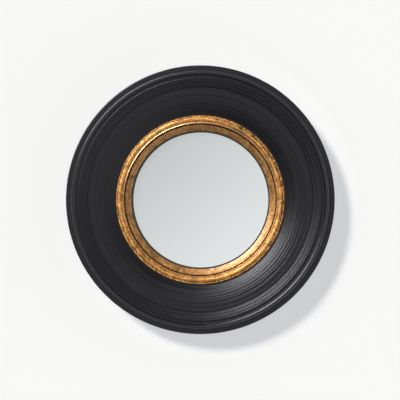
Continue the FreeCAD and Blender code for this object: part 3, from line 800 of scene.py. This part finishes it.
def turn_middle(outline, sizes):
    """The step inside the upper reeds, the thin ridge, the flat bead and the step inside it."""
    outline.step_down(sizes.middle_groove, sizes.middle_groove_depth, sizes.middle_slope)
    fall = sizes.broad_bead_drop / (sizes.ridge + sizes.broad_bead)
    level = outline.points[-1].y - fall * sizes.ridge
    outline.bead(sizes.ridge, level, sizes.ridge_rise, steps=8)
    level -= fall * sizes.broad_bead
    outline.bead(sizes.broad_bead, level, sizes.broad_bead_rise, steps=16)
    outline.step_down(sizes.lower_groove, sizes.lower_groove_depth, sizes.lower_slope)


def cut_reeds(outline, radius, depth, widths, crown, rise):
    """A row of uneven reeds down to a radius and depth, along a line that swells by crown."""
    start = outline.points[-1].copy()
    end = Vector((radius, depth))
    gone = 0
    for width in widths:
        gone += width / sum(widths)
        point = start.lerp(end, gone)
        point.y += 4 * crown * gone * (1 - gone)
        steps = max(6, round((outline.points[-1] - point).length / REED_STEP))
        outline.arc(point.x, point.y, rise * width / max(widths), steps)


def uneven(mesh, amount, pitch, seed):
    """Pushes a turned mesh's points about by a smooth noise, as hand-laid ground is."""
    # without a seed this noise would start from the clock
    noise.seed_set(seed)
    for corner in mesh.verts:
        offset = noise.noise_vector(corner.co / pitch + Vector((seed, seed, seed)))
        corner.co += offset * amount


class TurnGiltBead(bpy.types.Operator):
    """Turns the outer gilt ring"""
    bl_idname = "butlers_mirror.turn_gilt_bead"
    bl_label = "Outer gilt ring"

    def execute(self, context):
        sizes = settings().gilt
        joint = back("gilt_bead_ring")
        rim = joint + sizes.rim_height
        fillet = rim + sizes.fillet_rise
        outline = Outline(reach("gilt_bead_ring"), joint)
        outline.inwards(0, rim - sizes.rim_rise, steps=3)
        outline.bead(sizes.rim, rim, sizes.rim_rise, steps=9)
        outline.bead(sizes.bead, rim, sizes.bead_rise, steps=24)
        outline.bead(sizes.hollow, rim, -sizes.hollow_depth, steps=5)
        outline.inwards(sizes.fillet_slope * sizes.fillet, fillet, steps=3)
        outline.inwards((1 - sizes.fillet_slope) * sizes.fillet, fillet, steps=2)
        outline.inwards(sizes.inner_edge, fillet - sizes.inner_edge, steps=2)
        outline.inwards(0, joint, steps=4)
        mesh = turned_mesh(outline.points, sizes.steps)
        uneven(mesh, sizes.wobble, sizes.wobble_pitch, seed=2)
        add_piece(mesh, "gilt_bead", ["gilt_bead_ring"], "mirror", [material(gold_leaf)])
        return {"FINISHED"}


class TurnGiltSight(bpy.types.Operator):
    """Turns the inner gilt ring"""
    bl_idname = "butlers_mirror.turn_gilt_sight"
    bl_label = "Inner gilt ring"

    def execute(self, context):
        sizes = settings().gilt
        joint = back("gilt_sight_ring")
        top = joint + sizes.sight_height
        under = front("glass_gasket")
        wall = reach("convex_glass") + sizes.glass_play
        outline = Outline(reach("gilt_sight_ring"), joint)
        outline.inwards(0, top - sizes.sight_round, steps=3)
        outline.bead(sizes.sight_round, top, quarter_rise(sizes.sight_round), steps=4)
        outline.arc(sizes.sight_radius, under + sizes.lip, sizes.sight_crown, steps=16)
        outline.inwards(0, under, steps=3)
        outline.line(wall, under, steps=2)
        outline.line(wall, joint)
        mesh = turned_mesh(outline.points, sizes.steps)
        uneven(mesh, sizes.sight_wobble, sizes.sight_wobble_pitch, seed=5)
        add_piece(mesh, "gilt_sight", ["gilt_sight_ring"], "mirror", [material(gold_leaf)])
        return {"FINISHED"}


def dome_depth(curve, edge_radius, edge_depth, radius):
    """The depth of a sphere that passes through its edge, at a radius."""
    return edge_depth - math.sqrt(curve**2 - edge_radius**2) + math.sqrt(curve**2 - radius**2)


def glass_rim(sizes):
    """The depth of the front of the glass at its edge."""
    edge = reach("convex_glass")
    return front("convex_glass") - sizes.curve + math.sqrt(sizes.curve**2 - edge**2)


class FitSlip(bpy.types.Operator):
    """Fits the black slip around the glass"""
    bl_idname = "butlers_mirror.fit_slip"
    bl_label = "Glass slip"

    def execute(self, context):
        sizes = settings().glass
        sight = settings().gilt.sight_radius
        top = front("glass_gasket")
        outer = reach("glass_gasket")
        inner = sight - sizes.slip_show
        edge = reach("convex_glass")
        rim = glass_rim(sizes)

        def on_glass(radius):
            return dome_depth(sizes.curve, edge, rim, radius) + sizes.slip_lift

        outline = Outline(outer, on_glass(outer))
        outline.line(outer, top)
        outline.line(inner + sizes.slip_edge, top)
        outline.arc(inner, on_glass(inner), sizes.slip_edge_rise, steps=5)
        mesh = turned_mesh(outline.points, sizes.steps)
        # the inner part is moved right, so that the black shows wider on the left as painted shade
        visible = [corner for corner in mesh.verts if corner.co.xz.length < sight]
        bmesh.ops.translate(mesh, verts=visible, vec=(sizes.slip_shift, 0, 0))
        add_piece(mesh, "glass_slip", ["glass_gasket"], "mirror",
                  [material(slip_rubber)])
        return {"FINISHED"}


class SilverGlass(bpy.types.Operator):
    """Makes the domed mirror glass"""
    bl_idname = "butlers_mirror.silver_glass"
    bl_label = "Convex glass"

    def execute(self, context):
        sizes = settings().glass
        edge = reach("convex_glass")
        rim = glass_rim(sizes)
        back_rim = back("convex_glass")
        inner_curve = sizes.curve - sizes.thickness
        outline = Outline(edge, back_rim)
        outline.line(edge, rim)
        for step in range(1, sizes.rings + 1):
            radius = edge * (1 - step / sizes.rings)
            outline.line(radius, dome_depth(sizes.curve, edge, rim, radius))
        for step in range(sizes.rings):
            radius = edge * step / sizes.rings
            outline.line(radius, dome_depth(inner_curve, edge, back_rim, radius))
        mesh = turned_mesh(outline.points, sizes.steps)
        for face in mesh.faces:
            face.material_index = 0 if face.normal.y < 0 else 1
        add_piece(mesh, "mirror_glass", ["convex_glass"], "mirror",
                  [material(mirror_silver), material(backing_paint)])
        return {"FINISHED"}


def dress(node, finish):
    """Gives a CAD node that stays as it is a better finish."""
    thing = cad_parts[node]
    thing.data.materials.clear()
    thing.data.materials.append(finish)


class DressInside(bpy.types.Operator):
    """Finishes the rings whose shapes stay as they are"""
    bl_idname = "butlers_mirror.dress_inside"
    bl_label = "Backing and inner rings"

    def execute(self, context):
        dress("backing_ring", material(satin_black))
        dress("packing_ring", material(packing_foam))
        dress("retaining_ring", material(hardboard))
        dress("retainer_screws", material(zinc_plate))
        return {"FINISHED"}


class FitBackBoard(bpy.types.Operator):
    """Cuts the round back board"""
    bl_idname = "butlers_mirror.fit_back_board"
    bl_label = "Back board"

    def execute(self, context):
        sizes = settings().back
        worn = sizes.board_edge
        radius = reach("back_board")
        outline = Outline(0, front("back_board"))
        outline.line(radius, front("back_board"), steps=6)
        outline.line(radius, back("back_board") + worn)
        outline.bead(worn, back("back_board"), -quarter_rise(worn), steps=4)
        outline.line(0, back("back_board"), steps=6)
        mesh = turned_mesh(outline.points, sizes.board_steps)
        add_piece(mesh, "board", ["back_board"], "mirror", [material(hardboard)])
        return {"FINISHED"}


def screw(head, shank, top, height, tip, sink=0.0):
    """A screw on the axis with a cross recess, pan-headed, or countersunk where it is driven in."""
    sizes = settings().back
    outline = Outline(0, top + sink)
    if sink:
        outline.line(head / 2, top + sink, steps=3)
    else:
        outline.line(head / 2 - height / 2, top, steps=2)
        outline.arc(head / 2, top + height / 2, quarter_rise(height / 2), steps=6)
        outline.line(head / 2, top + height)
    outline.line(shank / 2, top + height)
    outline.line(shank / 2, tip - sizes.screw_point)
    outline.line(0, tip)
    mesh = turned_mesh(outline.points, sizes.screw_steps)
    for turn in (0, math.pi / 2):
        slot = bmesh.new()
        bmesh.ops.create_cube(slot, size=1)
        mouth = (sizes.recess_span * head, 2 * sizes.recess_depth, sizes.recess_width)
        bmesh.ops.scale(slot, verts=slot.verts, vec=mouth)
        deep = [corner for corner in slot.verts if corner.co.y < 0]
        bmesh.ops.scale(slot, verts=deep, vec=(sizes.recess_floor, 1, sizes.recess_taper))
        turned = Matrix.Rotation(turn, 3, "Y")
        bmesh.ops.rotate(slot, verts=slot.verts, cent=(0, 0, 0), matrix=turned)
        bmesh.ops.translate(slot, verts=slot.verts, vec=(0, -top - sink, 0))
        mesh = carve(mesh, slot)
    return mesh


def drive(master, places, seed):
    """Copies of a screw, each left at its own angle."""
    turns = random.Random(seed)
    row = bmesh.new()
    for x, z in places:
        turned = Matrix.Rotation(turns.uniform(0, math.pi / 2), 4, "Y")
        merge_into(row, master, Matrix.Translation((x, 0, z)) @ turned)
    master.free()
    return row


def circle_places(radius, places):
    """Places (x, z) evenly spaced around the axis."""
    steps = [2 * math.pi * number / places for number in range(places)]
    return [(radius * math.cos(step), radius * math.sin(step)) for step in steps]


def middle(node):
    """The middle of a node's box."""
    low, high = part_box(node)
    return (low + high) / 2


class DriveScrews(bpy.types.Operator):
    """Drives the screws that the back shows"""
    bl_idname = "butlers_mirror.drive_screws"
    bl_label = "Screws"

    def execute(self, context):
        sizes = settings().back
        head = sizes.board_screw_head
        top = back("board_screws")
        master = screw(head, sizes.board_screw_shank, top, sizes.screw_height,
                       front("board_screws"))
        places = circle_places(reach("board_screws") - head / 2, sizes.board_screws)
        mesh = drive(master, places, seed=4)
        add_piece(mesh, "board_screw_heads", ["board_screws"], "mirror",
                  [material(zinc_plate)])

        head = sizes.moulding_screw_head
        top = back("moulding_screws")
        master = screw(head, sizes.moulding_screw_shank, top, sizes.moulding_screw_cone,
                       front("moulding_screws"), sizes.moulding_screw_sink)
        places = circle_places(reach("moulding_screws") - head / 2, sizes.moulding_screws)
        mesh = drive(master, places, seed=9)
        add_piece(mesh, "flush_screws", ["moulding_screws"], "mirror",
                  [material(zinc_plate)])

        for side in SIDES:
            node = f"hanger_screw_{side}"
            master = screw(sizes.hanger_screw_head, sizes.hanger_screw_shank, back(node),
                           sizes.screw_height, front(node))
            place = middle(node)
            mesh = drive(master, [(place.x, place.z)], seed=SIDES[side])
            add_piece(mesh, f"strap_screw_{side}", [node], "mirror",
                      [material(zinc_plate)])
        return {"FINISHED"}


class BendStraps(bpy.types.Operator):
    """Bends the hanger straps around their rings' bars"""
    bl_idname = "butlers_mirror.bend_straps"
    bl_label = "Hanger straps"

    def execute(self, context):
        sizes = settings().back
        inside = sizes.wire / 2 + sizes.curl_clearance
        outside = inside + sizes.strap_thickness
        curl = 1 - math.cos((math.pi + sizes.curl_end) / 2)
        over = Vector((math.cos(sizes.curl_end), -math.sin(sizes.curl_end)))
        for side in SIDES:
            node = f"hanger_strap_{side}"
            low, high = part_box(node)
            hinge = Vector((low.x, low.y + outside, high.z - outside))
            outline = Outline(-outside, low.z - hinge.z)
            outline.line(-outside, 0, steps=4)
            outline.arc(*(outside * over), -outside * curl, steps=24)
            outline.line(*(inside * over))
            outline.arc(-inside, 0, inside * curl, steps=24)
            outline.line(-inside, low.z - hinge.z, steps=4)
            mesh = bmesh.new()
            face = mesh.faces.new([mesh.verts.new((0, y, z)) for y, z in outline.points])
            grown = bmesh.ops.extrude_face_region(mesh, geom=[face])["geom"]
            corners = [item for item in grown if isinstance(item, bmesh.types.BMVert)]
            bmesh.ops.translate(mesh, verts=corners, vec=(high.x - low.x, 0, 0))
            bmesh.ops.recalc_face_normals(mesh, faces=mesh.faces)
            bottom = min(corner.co.z for corner in mesh.verts) + sizes.metal_edge
            free_end = [edge for edge in mesh.edges
                        if all(corner.co.z < bottom for corner in edge.verts)
                        and abs(edge.verts[0].co.x - edge.verts[1].co.x) < sizes.metal_edge]
            bmesh.ops.bevel(mesh, geom=free_end, offset=sizes.strap_corner, offset_type="OFFSET",
                            affect="EDGES", segments=8, profile=0.5, material=-1)
            sharp = [edge for edge in mesh.edges if edge.calc_face_angle(0) > SHARP]
            bmesh.ops.bevel(mesh, geom=sharp, offset=sizes.metal_edge, offset_type="OFFSET",
                            affect="EDGES", segments=2, profile=0.5, material=-1,
                            clamp_overlap=True)
            bmesh.ops.translate(mesh, verts=mesh.verts, vec=hinge)
            add_piece(mesh, f"strap_{side}", [node], "mirror", [material(zinc_plate)])
        return {"FINISHED"}


class BendRings(bpy.types.Operator):
    """Bends the hanger rings from wire"""
    bl_idname = "butlers_mirror.bend_rings"
    bl_label = "Hanger rings"

    def execute(self, context):
        sizes = settings().back
        corner = sizes.wire_corner
        quarter = quarter_rise(corner)
        for side in SIDES:
            node = f"hanger_ring_{side}"
            low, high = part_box(node)
            half = (high.x - low.x - sizes.wire) / 2
            leg = low.z + sizes.wire / 2 + half - (high.z - sizes.wire / 2)
            path = Outline(half, leg)
            path.arc(-half, leg, -half, steps=28)
            path.line(-half, -corner, steps=4)
            path.arc(corner - half, 0, -quarter, steps=8)
            path.line(half - corner, 0, steps=6)
            path.arc(half, -corner, -quarter, steps=8)
            path.line(half, leg, steps=4)
            path.points.pop()
            wire = bpy.data.curves.new("wire", "CURVE")
            wire.dimensions = "3D"
            wire.bevel_depth = sizes.wire / 2
            wire.bevel_resolution = 5
            spline = wire.splines.new("POLY")
            spline.points.add(len(path.points) - 1)
            centre = middle(node)
            for point, (x, z) in zip(spline.points, path.points):
                point.co = (centre.x + x, centre.y, high.z - sizes.wire / 2 + z, 1)
            spline.use_cyclic_u = True
            bent = bpy.data.objects.new("wire", wire)
            mesh = bmesh.new()
            mesh.from_mesh(bpy.data.meshes.new_from_object(bent))
            bpy.data.objects.remove(bent)
            bmesh.ops.remove_doubles(mesh, verts=mesh.verts, dist=DOUBLE)
            bmesh.ops.recalc_face_normals(mesh, faces=mesh.faces)
            add_piece(mesh, f"ring_{side}", [node], f"ring_{side}",
                      [material(zinc_plate)])
        return {"FINISHED"}


class FitBumpers(bpy.types.Operator):
    """Fits the rubber feet that keep the back off the wall"""
    bl_idname = "butlers_mirror.fit_bumpers"
    bl_label = "Wall bumpers"

    def execute(self, context):
        sizes = settings().back
        for side in SIDES:
            for level in ("top", "bottom"):
                node = f"wall_bumper_{level}_{side}"
                low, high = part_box(node)
                radius = (high.x - low.x) / 2
                dimple = back(node) + sizes.bumper_dimple
                rounding = sizes.bumper_round
                outline = Outline(0, front(node))
                outline.line(radius, front(node))
                outline.line(radius, back(node) + rounding, steps=2)
                outline.bead(rounding, back(node), -quarter_rise(rounding), steps=8)
                outline.line(sizes.dimple_mouth * radius, back(node))
                outline.arc(sizes.dimple_floor * radius, dimple, -sizes.dimple_hollow * radius,
                            steps=4)
                outline.line(0, dimple)
                mesh = turned_mesh(outline.points, sizes.bumper_steps)
                place = middle(node)
                bmesh.ops.translate(mesh, verts=mesh.verts, vec=(place.x, 0, place.z))
                add_piece(mesh, f"bumper_{level}_{side}", [node], "mirror",
                          [material(bumper_black)])
        return {"FINISHED"}


# The stage


class SetStage(bpy.types.Operator):
    """Puts up the wall, the light and the camera"""
    bl_idname = "butlers_mirror.set_stage"
    bl_label = "Stage"

    def execute(self, context):
        sizes = settings().stage
        put_up_wall(sizes)
        light_room(sizes)
        towards = lamp_direction(sizes.key_turn, sizes.key_off_axis)
        key = add_sun("key", towards, sizes.key_power, sizes.key_size)
        key.data.color = sizes.key_colour
        key.visible_glossy = False
        for box in (-1, 0, 1):
            towards = lamp_direction(sizes.soft_turn + box * sizes.soft_spread, sizes.soft_off_axis)
            gleam = add_sun("soft_box", towards, sizes.soft_power, sizes.soft_size)
            gleam.visible_diffuse = False
        add_sun("behind", BEHIND, sizes.back_power, sizes.back_size).visible_glossy = False
        set_camera(sizes)
        return {"FINISHED"}


def lamp_direction(turn, off_axis):
    """The way to a lamp that stands off the axis, turned about it from the right."""
    side = math.sin(off_axis)
    return Vector((math.cos(turn) * side, -math.cos(off_axis), math.sin(turn) * side))


def put_up_wall(sizes):
    """A one-sided wall, open behind the frame so that the back is lit when it is looked at."""
    mesh = bmesh.new()
    hole = sizes.wall_hole * reach("backing_ring")
    bmesh.ops.create_circle(mesh, radius=hole, segments=64)
    upright = Matrix.Rotation(math.pi / 2, 3, "X")
    bmesh.ops.rotate(mesh, verts=mesh.verts, cent=(0, 0, 0), matrix=upright)
    grown = bmesh.ops.extrude_edge_only(mesh, edges=mesh.edges[:])["geom"]
    corners = [item for item in grown if isinstance(item, bmesh.types.BMVert)]
    scale = sizes.wall_size / 2 / hole
    bmesh.ops.scale(mesh, verts=corners, vec=(scale, 1, scale))
    bmesh.ops.translate(mesh, verts=mesh.verts, vec=(0, sizes.wall_gap, 0))
    for face in mesh.faces:
        face.normal_update()
    if mesh.faces[:][0].normal.y > 0:
        bmesh.ops.reverse_faces(mesh, faces=mesh.faces)
    data = bpy.data.meshes.new("wall")
    mesh.to_mesh(data)
    mesh.free()
    wall = bpy.data.objects.new("wall", data)
    bpy.context.scene.collection.objects.link(wall)
    data.materials.append(wall_paint(sizes))


def wall_paint(sizes):
    """Matt paint that the camera and reflections see glow, clear from behind."""
    recipe = Recipe("wall_paint")
    path = recipe.tree.nodes.new("ShaderNodeLightPath")
    facing = recipe.tree.nodes.new("ShaderNodeNewGeometry")
    seen = recipe.larger(path.outputs["Is Camera Ray"], path.outputs["Is Glossy Ray"])
    seen = recipe.larger(seen, path.outputs["Is Transmission Ray"])
    shown = recipe.multiply(seen, recipe.subtract(1.0, facing.outputs["Backfacing"]))
    paint = recipe.node("BsdfDiffuse", {"Color": tuple(sizes.wall)}, output="BSDF")
    # painted light: the glow grows towards the frame, to cancel the shade that the frame casts on
    # the wall
    rim = reach("frame_moulding")
    lift = recipe.ramp(recipe.radius(), rim, sizes.wall_lift_reach * rim, sizes.wall_lift, 0.0)
    glow = recipe.add_vector(tuple(sizes.wall_glow), lift)
    glow = recipe.node("Emission", {"Color": glow, "Strength": 1.0}, output="Emission")
    lit = recipe.node("AddShader", {0: paint, 1: glow}, output="Shader")
    clear = recipe.node("BsdfTransparent", output="BSDF")
    mixed = recipe.node("MixShader", {0: shown, 1: clear, 2: lit}, output="Shader")
    recipe.tree.links.new(mixed, recipe.tree.nodes["Material Output"].inputs["Surface"])
    return recipe.material


def light_room(sizes):
    """The pale room: the camera sees it as the wall's colour, the mirror sees its slow gradient."""
    world = bpy.data.worlds.new("room")
    bpy.context.scene.world = world
    world.use_nodes = True
    world.node_tree.nodes.clear()
    nodes = NodeTree(world.node_tree)

    def blend(fac, first, second):
        return nodes.node("Mix", {0: fac, 4: first, 5: second}, output=1, data_type="VECTOR")

    # ahead the room grows brighter to the lower right, and that side of it is filled with light
    way = nodes.node("TexCoord", output="Generated")
    ahead = nodes.add_vector(tuple(sizes.room), nodes.dot(way, sizes.room_slope * BRIGHTER))
    fill = nodes.larger(nodes.dot(way, FILLED), 0.0)
    fill = nodes.multiply(nodes.multiply(fill, fill), sizes.room_fill)
    sides = nodes.add_vector((sizes.room_sides,) * 3, fill)

    # how far a way points out of the wall tells the room's front from its sides and from behind
    frontal = nodes.dot(way, -AXIS)
    room = blend(nodes.ramp(frontal, 0.69, 0.868), sides, ahead)
    room = blend(nodes.ramp(frontal, 0.0, -0.2), room, (sizes.room_behind,) * 3)
    path = nodes.tree.nodes.new("ShaderNodeLightPath")
    glossy = nodes.larger(path.outputs["Is Glossy Ray"], path.outputs["Is Transmission Ray"])
    glossy = nodes.multiply(glossy, nodes.ramp(frontal, 0.0, -0.25))
    seen = nodes.larger(path.outputs["Is Camera Ray"], glossy)
    shown = blend(seen, room, tuple(sizes.backdrop))
    light = nodes.node("Background", {"Color": shown, "Strength": 1.0}, output="Background")
    output = nodes.tree.nodes.new("ShaderNodeOutputWorld")
    nodes.tree.links.new(light, output.inputs["Surface"])


def add_sun(name, towards, power, size):
    """A soft lamp that shines from a direction."""
    data = bpy.data.lights.new(name, "SUN")
    data.energy = power
    data.angle = size
    lamp = bpy.data.objects.new(name, data)
    lamp.rotation_mode = "QUATERNION"
    lamp.rotation_quaternion = towards.to_track_quat("Z", "Y")
    lamp.location = towards
    bpy.context.scene.collection.objects.link(lamp)
    return lamp


def set_camera(sizes):
    """A long lens, straight on, that puts the frame's edge at its place in the picture."""
    moulding = settings().moulding
    edge_depth = front("frame_moulding") - moulding.edge_band_drop - moulding.edge_round
    pixel_size = reach("frame_moulding") / sizes.rim_radius
    data = bpy.data.cameras.new("camera")
    data.sensor_width = SENSOR_WIDTH
    data.lens = SENSOR_WIDTH * (sizes.distance - edge_depth) / (pixel_size * sizes.image_width)
    data.shift_x = (sizes.image_width / 2 - sizes.rim_x) / sizes.image_width
    data.shift_y = (sizes.rim_y - sizes.image_width / 2) / sizes.image_width
    data.clip_start = NEAREST
    data.clip_end = FARTHEST
    camera = bpy.data.objects.new("camera", data)
    aim = Vector((0, -edge_depth, 0))
    turn = Matrix.Rotation(sizes.view_right, 3, "Z") @ Matrix.Rotation(sizes.view_down, 3, "X")
    camera.location = aim + turn @ Vector((0, edge_depth - sizes.distance, 0))
    camera.rotation_euler = (turn @ Matrix.Rotation(math.pi / 2, 3, "X")).to_euler()
    bpy.context.scene.collection.objects.link(camera)
    bpy.context.scene.camera = camera
    bpy.context.scene.view_settings.view_transform = "Standard"


PIECES = (TurnMoulding, TurnGiltBead, TurnGiltSight, FitSlip, SilverGlass, DressInside,
          FitBackBoard, DriveScrews, BendStraps, BendRings, FitBumpers, SetStage)
GROUPS = (MouldingSettings, GiltSettings, GlassSettings, BackSettings, FinishSettings,
          StageSettings, MirrorSettings)


class MirrorPanel(bpy.types.Panel):
    """Lists the mirror's pieces"""
    bl_idname = "VIEW3D_PT_butlers_mirror"
    bl_label = "Butler's Mirror"
    bl_space_type = "VIEW_3D"
    bl_region_type = "UI"
    bl_category = "Mirror"

    def draw(self, context):
        column = self.layout.column()
        for piece in PIECES:
            column.operator(piece.bl_idname)


def register():
    for kind in (*GROUPS, *PIECES, MirrorPanel):
        bpy.utils.register_class(kind)
    bpy.types.Scene.butlers_mirror = PointerProperty(type=MirrorSettings)


def unregister():
    del bpy.types.Scene.butlers_mirror
    for kind in (MirrorPanel, *reversed(PIECES), *reversed(GROUPS)):
        bpy.utils.unregister_class(kind)


def main():
    register()
    for piece in PIECES:
        group, name = piece.bl_idname.split(".")
        getattr(getattr(bpy.ops, group), name)()


if __name__ == "__main__":
    main()
